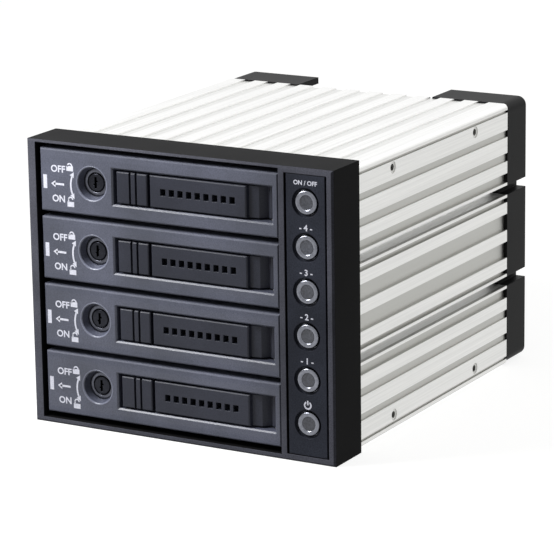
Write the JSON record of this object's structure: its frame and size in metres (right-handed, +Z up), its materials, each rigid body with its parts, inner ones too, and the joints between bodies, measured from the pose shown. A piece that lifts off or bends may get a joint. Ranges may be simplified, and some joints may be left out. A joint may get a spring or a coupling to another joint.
{
  "type": "hot swap drive cage",
  "caption": "Ribbed aluminium drive cage with a black bezel, lockable lever-latched drive trays, a column of push buttons, and a backplane with a fan in a rear cap.",
  "frame": {"origin": "on the ground plane under the middle of the cage's box", "axes": "+Z up, the bezel and trays face -Y, +X to the right as seen from the front, the rear cap and fan at +Y"},
  "size_m": [0.149, 0.1882, 0.126],
  "materials": {
    "aluminium_extrusion": "matt anodised extrusion, ribbed along its length",
    "bezel_plastic": "fine textured black moulding",
    "panel_plastic": "fine textured black moulding, white legends",
    "cap_plastic": "black moulding",
    "tray_plastic": "fine textured blue-black moulding, white legends",
    "lever_plastic": "smoother blue-black moulding",
    "lock_metal": "dark nickel-plated zinc casting",
    "button_metal": "satin silver plating",
    "tray_metal": "black painted steel sheet",
    "guide_plastic": "black slippery moulding",
    "circuit_board": "green solder mask on glass fibre",
    "connector_plastic": "black connector moulding",
    "socket_plastic": "natural white connector moulding",
    "fan_plastic": "black glass-filled moulding",
    "zinc_steel": "zinc-plated steel",
    "black_steel": "black oxide steel"
  },
  "bodies": {
    "cage": {"front_bezel": "bezel_plastic", "control_panel": "panel_plastic", "control_board": "circuit_board", "button_switches": "connector_plastic", "side_panel_left": "aluminium_extrusion", "side_panel_right": "aluminium_extrusion", "top_panel": "aluminium_extrusion", "bottom_panel": "aluminium_extrusion", "guide_rail_left": "guide_plastic", "partition_wall": "guide_plastic", "backplane_board": "circuit_board", "drive_connectors": "connector_plastic", "data_ports": "connector_plastic", "power_sockets": "socket_plastic", "rear_cap": "cap_plastic", "fan_frame": "fan_plastic", "bezel_screws": "zinc_steel", "cap_screws": "zinc_steel", "board_screws": "zinc_steel", "control_board_screws": "zinc_steel", "fan_screws": "black_steel"},
    "fan_rotor": {"fan_rotor": "fan_plastic"},
    "button_1": {"button_1": "button_metal"},
    "button_2": {"button_2": "button_metal"},
    "button_3": {"button_3": "button_metal"},
    "button_4": {"button_4": "button_metal"},
    "button_5": {"button_5": "button_metal"},
    "button_6": {"button_6": "button_metal"},
    "tray_1": {"tray_front_1": "tray_plastic", "tray_sled_1": "tray_metal", "lock_barrel_1": "lock_metal", "lever_pin_1": "zinc_steel", "tray_screws_1": "zinc_steel"},
    "lever_1": {"lever_1": "lever_plastic"},
    "latch_1": {"latch_1": "lever_plastic"},
    "lock_core_1": {"lock_core_1": "lock_metal"},
    "tray_2": {"tray_front_2": "tray_plastic", "tray_sled_2": "tray_metal", "lock_barrel_2": "lock_metal", "lever_pin_2": "zinc_steel", "tray_screws_2": "zinc_steel"},
    "lever_2": {"lever_2": "lever_plastic"},
    "latch_2": {"latch_2": "lever_plastic"},
    "lock_core_2": {"lock_core_2": "lock_metal"},
    "tray_3": {"tray_front_3": "tray_plastic", "tray_sled_3": "tray_metal", "lock_barrel_3": "lock_metal", "lever_pin_3": "zinc_steel", "tray_screws_3": "zinc_steel"},
    "lever_3": {"lever_3": "lever_plastic"},
    "latch_3": {"latch_3": "lever_plastic"},
    "lock_core_3": {"lock_core_3": "lock_metal"},
    "tray_4": {"tray_front_4": "tray_plastic", "tray_sled_4": "tray_metal", "lock_barrel_4": "lock_metal", "lever_pin_4": "zinc_steel", "tray_screws_4": "zinc_steel"},
    "lever_4": {"lever_4": "lever_plastic"},
    "latch_4": {"latch_4": "lever_plastic"},
    "lock_core_4": {"lock_core_4": "lock_metal"}
  },
  "joints": [
    {"name": "fan_spin", "type": "hinge", "parent": "cage", "child": "fan_rotor", "pos_m": [-0.0092, 0.0833, 0.0619], "axis": [0, 1, 0], "continuous": true},
    {"name": "button_1_press", "type": "slide", "parent": "cage", "child": "button_1", "axis": [0, 1, 0], "range_m": [0, 0.0008], "stiffness_N_per_m": 400},
    {"name": "button_2_press", "type": "slide", "parent": "cage", "child": "button_2", "axis": [0, 1, 0], "range_m": [0, 0.0008], "stiffness_N_per_m": 400},
    {"name": "button_3_press", "type": "slide", "parent": "cage", "child": "button_3", "axis": [0, 1, 0], "range_m": [0, 0.0008], "stiffness_N_per_m": 400},
    {"name": "button_4_press", "type": "slide", "parent": "cage", "child": "button_4", "axis": [0, 1, 0], "range_m": [0, 0.0008], "stiffness_N_per_m": 400},
    {"name": "button_5_press", "type": "slide", "parent": "cage", "child": "button_5", "axis": [0, 1, 0], "range_m": [0, 0.0008], "stiffness_N_per_m": 400},
    {"name": "button_6_press", "type": "slide", "parent": "cage", "child": "button_6", "axis": [0, 1, 0], "range_m": [0, 0.0008], "stiffness_N_per_m": 400},
    {"name": "tray_1_slide", "type": "slide", "parent": "cage", "child": "tray_1", "axis": [0, -1, 0], "range_m": [0, 0.145]},
    {"name": "lever_1_swing", "type": "hinge", "parent": "tray_1", "child": "lever_1", "pos_m": [0.0428, -0.0869, 0.01865], "axis": [0, 0, 1], "range_deg": [0, 70]},
    {"name": "latch_1_slide", "type": "slide", "parent": "tray_1", "child": "latch_1", "axis": [-1, 0, 0], "range_m": [0, 0.0014], "stiffness_N_per_m": 300},
    {"name": "lock_1_turn", "type": "hinge", "parent": "tray_1", "child": "lock_core_1", "pos_m": [-0.0425, -0.0881, 0.01885], "axis": [0, 1, 0], "range_deg": [0, 90]},
    {"name": "tray_2_slide", "type": "slide", "parent": "cage", "child": "tray_2", "axis": [0, -1, 0], "range_m": [0, 0.145]},
    {"name": "lever_2_swing", "type": "hinge", "parent": "tray_2", "child": "lever_2", "pos_m": [0.0428, -0.0869, 0.04865], "axis": [0, 0, 1], "range_deg": [0, 70]},
    {"name": "latch_2_slide", "type": "slide", "parent": "tray_2", "child": "latch_2", "axis": [-1, 0, 0], "range_m": [0, 0.0014], "stiffness_N_per_m": 300},
    {"name": "lock_2_turn", "type": "hinge", "parent": "tray_2", "child": "lock_core_2", "pos_m": [-0.0425, -0.0881, 0.04885], "axis": [0, 1, 0], "range_deg": [0, 90]},
    {"name": "tray_3_slide", "type": "slide", "parent": "cage", "child": "tray_3", "axis": [0, -1, 0], "range_m": [0, 0.145]},
    {"name": "lever_3_swing", "type": "hinge", "parent": "tray_3", "child": "lever_3", "pos_m": [0.0428, -0.0869, 0.07865], "axis": [0, 0, 1], "range_deg": [0, 70]},
    {"name": "latch_3_slide", "type": "slide", "parent": "tray_3", "child": "latch_3", "axis": [-1, 0, 0], "range_m": [0, 0.0014], "stiffness_N_per_m": 300},
    {"name": "lock_3_turn", "type": "hinge", "parent": "tray_3", "child": "lock_core_3", "pos_m": [-0.0425, -0.0881, 0.07885], "axis": [0, 1, 0], "range_deg": [0, 90]},
    {"name": "tray_4_slide", "type": "slide", "parent": "cage", "child": "tray_4", "axis": [0, -1, 0], "range_m": [0, 0.145]},
    {"name": "lever_4_swing", "type": "hinge", "parent": "tray_4", "child": "lever_4", "pos_m": [0.0428, -0.0869, 0.10865], "axis": [0, 0, 1], "range_deg": [0, 70]},
    {"name": "latch_4_slide", "type": "slide", "parent": "tray_4", "child": "latch_4", "axis": [-1, 0, 0], "range_m": [0, 0.0014], "stiffness_N_per_m": 300},
    {"name": "lock_4_turn", "type": "hinge", "parent": "tray_4", "child": "lock_core_4", "pos_m": [-0.0425, -0.0881, 0.10885], "axis": [0, 1, 0], "range_deg": [0, 90]}
  ]
}
